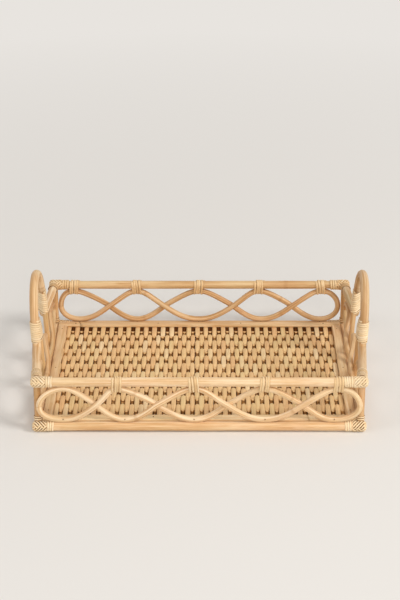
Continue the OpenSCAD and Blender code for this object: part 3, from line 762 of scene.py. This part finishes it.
def peel_of(name, deep, middle, pale):
    """Flat split peel: fine streaks along it, and painted shade that browns its edges, for the shade between
    turns, and darkens it where a lower layer shows.
    """
    finish, shader = new_finish(name)
    streak = grain_noise(finish, 0.8, 0.02, 3.0, 0.6)
    fibre = grain_noise(finish, 4.5, 0.05, 2.0, 0.5)
    edge = painted_on(finish, "edge")
    colour = ramp(finish, streak, [(0.3, tone(deep)), (0.5, tone(middle)), (0.7, tone(pale))])
    colour = stain(finish, colour, "C89B68", fibre, 0.35, 0.65, 0.18, 0.0, "MULTIPLY")
    # Painted shade: browner towards the edges of a band, and dark where the edge value passes 1.
    colour = stain(finish, colour, "A06A2E", edge, 0.62, 1.0, 0.0, 0.7)
    colour = stain(finish, colour, "6A3F14", edge, 1.0, 1.15, 0.0, 1.0)
    raised = add_node(finish, "Bump", Height=fibre, Strength=0.3, Distance=0.00025).outputs["Normal"]
    join_up(finish, shader, Base_Color=colour, Roughness=spread(finish, fibre, 0.3, 0.7, 0.56, 0.42),
            Normal=raised)
    shader.inputs["Specular IOR Level"].default_value = 0.25
    return finish


peel_finish = peel_of("binding_peel", "E8CA98", "F5DDB4", "FDEED2")
tan_finish = peel_of("tan_peel", "D9B27E", "E9C999", "F6E2BC")


def face_outwards(piece):
    """Turns a piece's faces outwards."""
    bpy.context.view_layer.objects.active = piece
    bpy.ops.object.mode_set(mode="EDIT")
    bpy.ops.mesh.select_all(action="SELECT")
    bpy.ops.mesh.normals_make_consistent(inside=False)
    bpy.ops.object.mode_set(mode="OBJECT")


def peel_band(name, middle, out, across, width, seed, thick=peel_thick, shade=0.0):
    """A band of peel laid along middle, facing out, its width along across, with rounded edges."""
    middle, out, across = (np.asarray(a, float) for a in (middle, out, across))
    bpy.ops.object.select_all(action="DESELECT")
    bpy.ops.mesh.primitive_grid_add(x_subdivisions=len(middle) - 1, y_subdivisions=4, size=1)
    band = bpy.context.object
    band.name = name
    flat = points_of(band) * mm
    order = np.rint((flat[:, 0] + 0.5) * (len(middle) - 1)).astype(int)
    over = flat[:, 1] * 2
    drop = thick * 0.7 * np.abs(over) ** 2.5
    run = np.concatenate([[0], np.cumsum(np.linalg.norm(np.diff(middle, axis=0), axis=1))])
    wide = np.broadcast_to(width, len(middle))[order]
    sideways, outwards = (over * wide / 2)[:, None], (thick - drop)[:, None]
    set_points(band, middle[order] + across[order] * sideways + out[order] * outwards)
    write_on(band, "grain", np.stack([over * wide / 2, 0 * over, run[order] + 223 * seed], 1))
    # The edge value rises towards both edges of the band, and shade adds painted shade to it.
    write_on(band, "edge", np.abs(over) + np.broadcast_to(shade, len(middle))[order])
    face_outwards(band)
    faces_out = np.array(band.data.polygons[0].normal) @ out[order[band.data.polygons[0].vertices[0]]]
    wall = band.modifiers.new("thickness", "SOLIDIFY")
    wall.thickness = 0.6 * thick * mm
    wall.offset = -1 if faces_out > 0 else 1
    bpy.ops.object.modifier_apply(modifier="thickness")
    bpy.ops.object.shade_smooth_by_angle(angle=math.radians(60))
    return band


def on_rail(angle, along, radius, rail_end, soft=4.0):
    """A point on the rounded end of a rail along X, from the rail's middle line, and the way out there.
    Angle 0 faces the front and a quarter turn faces up."""
    past = max(along - (rail_end - soft), 0) / soft
    past = min(past, 1.45)
    reach = radius - soft * (1 - math.cos(past))
    way = np.array([math.sin(past), -math.cos(past) * math.cos(angle), math.cos(past) * math.sin(angle)])
    along = min(along, rail_end - soft) + (soft * math.sin(past) if past else 0)
    return np.array([along, -reach * math.cos(angle), reach * math.sin(angle)]), way


def corner_plait(name, seed, roll, dark, turns):
    """The plait on the right-hand front end of a rail, about the rail's own middle line: an under layer
    darkened with painted shade, a row of chevrons whose arms cross by turns, and plain turns. Roll is how
    far the chevrons' points sit up the rail from its front, and dark is how much painted shade the under
    layer takes."""
    rail_end, radius = 209.6, 6.2
    plait_start, first_apex, apex_pitch, slant = 192.2, 193.6, 4.0, 0.95 * radius
    arm_wide = 2.1 if dark > 0.5 else 2.5
    lengthwise = np.tile([1, 0, 0], (len(round_it), 1))
    bands = []
    # The under layer, which takes painted shade by dark.
    for place in (195, 200, 204.5):
        middle, out = zip(*[on_rail(a, place, 5.95, rail_end) for a in round_it])
        bands.append(peel_band(f"{name}_under_{place}", middle, out, lengthwise, 5.4, seed, 0.15, dark))
    for k in range(-3, 5):
        apex = first_apex + apex_pitch * k
        for way in (1, -1):
            first = max(-0.42 if way == (1 if k % 2 else -1) else 0.05, (plait_start - apex) / slant)
            last = 2.8
            middle, out = [], []
            for turned in np.linspace(first, last, 30):
                tuck = 0.8 * math.exp(-((turned - first) / 0.17) ** 2)
                tuck += 0.5 * math.exp(-((turned - last) / 0.3) ** 2)
                point, face = on_rail(roll + way * turned, apex + slant * turned, radius - tuck, rail_end)
                middle.append(point)
                out.append(face)
            middle, out = np.array(middle), np.array(out)
            ahead = np.gradient(middle, axis=0)
            across = np.cross(out, ahead)
            across /= np.linalg.norm(across, axis=1)[:, None]
            bands.append(peel_band(f"{name}_{k}_{way}", middle, out, across, arm_wide,
                                   seed + 2 * k + way, 1.05))
    for k in range(3 - turns, 3):
        middle, out = zip(*[on_rail(a, 184.6 + 3.0 * k - 0.5 * math.sin(a + 0.4 * k), radius - 0.1, rail_end)
                            for a in round_it])
        bands.append(peel_band(f"{name}_turn_{k}", middle, out, lengthwise, 2.9, seed + 30 + k))
    return bands


def collar(name, centre, way, radius, count, pitch, seed, width=2.8, shade=0.3):
    """Plain turns of peel round a pole from centre on, along way."""
    centre, way = np.asarray(centre, float), np.asarray(way, float)
    way = way / np.linalg.norm(way)
    side, up = square_to(way)
    out = np.array([math.cos(a) * side + math.sin(a) * up for a in round_it])
    lengthwise = np.tile(way, (len(round_it), 1))
    # The turns take painted shade at their edges by shade.
    return [peel_band(f"{name}_{k}", centre + way * pitch * k + radius * out, out, lengthwise, width,
                      seed + k, shade=shade) for k in range(count)]


for base, level, z in ((True, "base", low_z), (False, "top", high_z)):
    for side, back, corner in corners:
        seed = 100 + 50 * base + 10 * side + 5 * back
        roll = 2.3 if back > 0 else -0.35 if side > 0 else 0.3 if base else 0.15
        # Painted shade on the under layer: full at the front base corners, lighter at the others.
        dark = 1.0 if base and back < 0 else 0.35
        turns = 4 if not base and side > 0 > back else 3
        bands = corner_plait(f"{corner}_{level}", seed, roll, dark, turns)
        for band in bands:
            set_points(band, points_of(band) + [0, -rail_y, z])
        if base:
            bands += collar(f"{corner}_foot", (rail_x, -post_y, 16.2), (0, 0.1, 1), radius=4.6, count=2,
                            pitch=2.8, seed=seed + 40)
        else:
            along_run = (leg_x - rail_x, rail_y - leg_y - bend_r, 0)
            bands += collar(f"{corner}_run", (203.6, -142.6, high_z), along_run, radius=5.9,
                            count=7 if back < 0 else 4, pitch=3.1, seed=seed + 40, width=2.95)
        binding = joined(bands, f"{corner}_{level}_binding_peel")
        laid = points_of(binding)
        laid[:, 2] = np.maximum(laid[:, 2], 0.05)
        set_points(binding, laid * [side, -back, 1])
        face_outwards(binding)
        fit(binding, peel_finish if back < 0 else tan_finish, "peel", f"{corner}_{level}_binding")

# Handle bindings: a long flat peel wound close about each handle leg and its strut, from just above
# the bend to the strut's tip, with its two ends tucked in.


def string_point(first, first_r, second, second_r, angle):
    """The point that faces angle on a string pulled round two circles."""
    way = np.array([math.cos(angle), math.sin(angle)])
    first, second = np.asarray(first, float), np.asarray(second, float)
    if first @ way + first_r >= second @ way + second_r:
        return first + first_r * way
    return second + second_r * way


def ends_tucked(middle, out):
    """A winding's line with its two ends drawn in."""
    from_end = np.minimum(np.arange(len(middle)), np.arange(len(middle))[::-1])
    return np.array(middle) - np.array(out) * (1.2 * np.exp(-from_end / 3.0))[:, None]


def handle_winding(name, back, seed):
    """The winding on a right-hand leg; back is 1 for the rear leg and -1 for the front one."""
    turns, steps, low, high = 10, 24, 7.6, 37.2
    middle, out = [], []
    for i in range(turns * steps + 1):
        angle = 2 * math.pi * i / steps - math.pi / 2 - 0.5
        rise = low + (high - low) * i / (turns * steps)
        z = high_z + rise
        bent = bend_r - math.sqrt(bend_r ** 2 - (bend_r - min(rise, bend_r)) ** 2)
        arched = leg_y - math.sqrt(leg_y ** 2 - max(rise - arch_rise, 0) ** 2)
        leg = (leg_x + rise * handle_lean, back * (leg_y + bent - arched))
        strut_r = np.interp(rise, [25.5, 35.5], [3.6, 2.1])
        x, y = string_point(leg, 6.0, (strut_x(z), back * strut_y), strut_r, angle)
        middle.append((x, y, z))
        out.append((math.cos(angle), math.sin(angle), 0))
    # Painted shade: the lowest turn's edges are dark, for the shadow gap below the winding, and the other
    # turns' edges a little lighter.
    shade = np.where(np.arange(len(middle)) < 0.9 * steps, 0.3, -0.12)
    upright = np.tile([0, 0, 1], (len(middle), 1))
    return peel_band(name, ends_tucked(middle, out), out, upright, 2.9, seed, shade=shade)


for side, side_name in left_right:
    for back, end_name in front_back:
        binding = handle_winding(f"{end_name}_{side_name}_handle_binding_peel", back, 200 + 2 * side + back)
        set_points(binding, points_of(binding) * [side, 1, 1])
        face_outwards(binding)
        fit(binding, peel_finish, "peel", f"{end_name}_{side_name}_handle_binding")

# Loop bindings: a few turns of the browner peel that tie the crest of a loop up to the top rail, four
# on the front wall and five on the back.


def loop_winding(name, place, pitch, seed, turns, lean):
    """The turns about a rail and the crest of a loop under it, along X, about the wall's own plane. Pitch
    is the loops' length, and lean is how far the turns slant from upright."""
    steps, step = 28, 3.25
    middle, out = [], []
    for i in range(turns * steps + 1):
        angle = 2 * math.pi * i / steps + math.pi / 2
        shift = step * (i / steps - turns / 2) + 0.35 * math.sin(1.7 * seed + i / steps * 2.3)
        drop = wave_height * (1 - crest_rise(math.cos(math.pi * abs(shift) / pitch)))
        y, z = string_point((0, high_z), 6.15, (0, crest_z - drop), cane_thick / 2 + 0.15, angle)
        middle.append((place + shift + lean * (z - high_z + 4), y, z))
        out.append((0, math.cos(angle), math.sin(angle)))
    lengthwise = np.tile([1, 0, 0], (len(middle), 1))
    # Its edges take a little less painted shade than plain peel.
    return peel_band(name, ends_tucked(middle, out), out, lengthwise, 3.15, seed, shade=-0.06)


loop_leans = (0.1, -0.04, 0.12, 0.07, -0.06)
for back, wall, crests, pitch in ((-1, "front", loop_places(front_cross, front_strays[0])[1:], 75.5),
                                  (1, "back", loop_places(back_cross, back_strays[0]), 81)):
    for number, (crest, lean) in enumerate(zip(crests, loop_leans), 1):
        binding = loop_winding(f"{wall}_loop_binding_{number}_peel", crest, pitch,
                               seed=230 + 3 * number + back, turns=4, lean=lean)
        set_points(binding, points_of(binding) + [0, back * rail_y, 0])
        fit(binding, tan_finish, "peel", f"{wall}_loop_binding_{number}")

# Floor, light and camera: a plain pale floor that takes an even tone far from the tray, a large soft
# light from the right and above, weaker ones from the left and low in front, and the camera at the
# photograph's angle.


def seen_directly(owner):
    """1 for what the camera sees, straight, in a reflection or through glass, and 0 for other light."""
    ray = add_node(owner, "LightPath").outputs
    seen = ray["Is Camera Ray"]
    for kind in ("Is Glossy Ray", "Is Transmission Ray"):
        either = add_node(owner, "Math", {"operation": "MAXIMUM"})
        owner.node_tree.links.new(seen, either.inputs[0])
        owner.node_tree.links.new(ray[kind], either.inputs[1])
        seen = either.outputs[0]
    return seen


bpy.ops.object.select_all(action="DESELECT")
bpy.ops.mesh.primitive_plane_add(size=14)
floor = bpy.context.object
floor.name = "floor"
floor_finish, floor_shader = new_finish("pale_floor")
floor_shader.inputs["Base Color"].default_value = tone("E7E5E2")
floor_shader.inputs["Roughness"].default_value = 0.8
floor.data.materials.append(floor_finish)
floor_place = add_node(floor_finish, "TexCoord").outputs["Object"]
distance = add_node(floor_finish, "VectorMath", {"operation": "LENGTH"}, Vector=floor_place)
fade = spread(floor_finish, distance.outputs["Value"], 0.4, 1.7, 0.0, 1.0)
far = add_node(floor_finish, "Math", {"operation": "MULTIPLY"})
backdrop = add_node(floor_finish, "Emission", Color=tone("E8E4DF"), Strength=1.0).outputs[0]
paler = floor_finish.node_tree.nodes.new("ShaderNodeMixShader")
floor_links = floor_finish.node_tree.links
floor_links.new(seen_directly(floor_finish), far.inputs[0])
floor_links.new(fade, far.inputs[1])
floor_links.new(far.outputs[0], paler.inputs[0])
floor_links.new(floor_shader.outputs[0], paler.inputs[1])
floor_links.new(backdrop, paler.inputs[2])
floor_links.new(paler.outputs[0], floor_finish.node_tree.nodes["Material Output"].inputs["Surface"])

world = bpy.data.worlds.new("studio")
bpy.context.scene.world = world
world.use_nodes = True
sky = world.node_tree.nodes["Background"]
sky.inputs["Color"].default_value = (1.0, 0.965, 0.92, 1)
world.node_tree.links.new(spread(world, seen_directly(world), 0.0, 1.0, 0.5, 0.8), sky.inputs["Strength"])


def soft_light(name, place, size, watts, colour):
    """A round soft lamp turned towards the middle of the tray."""
    lamp = bpy.data.lights.new(name, "AREA")
    lamp.shape = "DISK"
    lamp.size = size
    lamp.energy = watts
    lamp.color = colour
    holder = bpy.data.objects.new(name, lamp)
    bpy.context.scene.collection.objects.link(holder)
    x, y, z = np.asarray(place, float) - (0, 0, 0.05)
    holder.location = place
    holder.rotation_euler = (math.atan2(math.hypot(x, y), z), 0, math.atan2(y, x) + math.pi / 2)


soft_light("key", (3.9, -1.9, 3.5), 2.0, 150, (1.0, 0.97, 0.935))
soft_light("side", (-3.0, -1.4, 3.0), 2.0, 20, (1.0, 0.98, 0.96))
soft_light("front", (0.6, -4.6, 2.5), 2.4, 78, (1.0, 0.97, 0.935))

lens = bpy.data.cameras.new("camera")
lens.lens = 104.55
lens.sensor_width = 36
lens.clip_end = 60
camera = bpy.data.objects.new("camera", lens)
bpy.context.scene.collection.objects.link(camera)
camera.location = (0.0008, -2.086, 1.0556)
camera.rotation_euler = (math.radians(65.69), 0, 0)
bpy.context.scene.camera = camera
bpy.context.scene.view_settings.view_transform = "Standard"
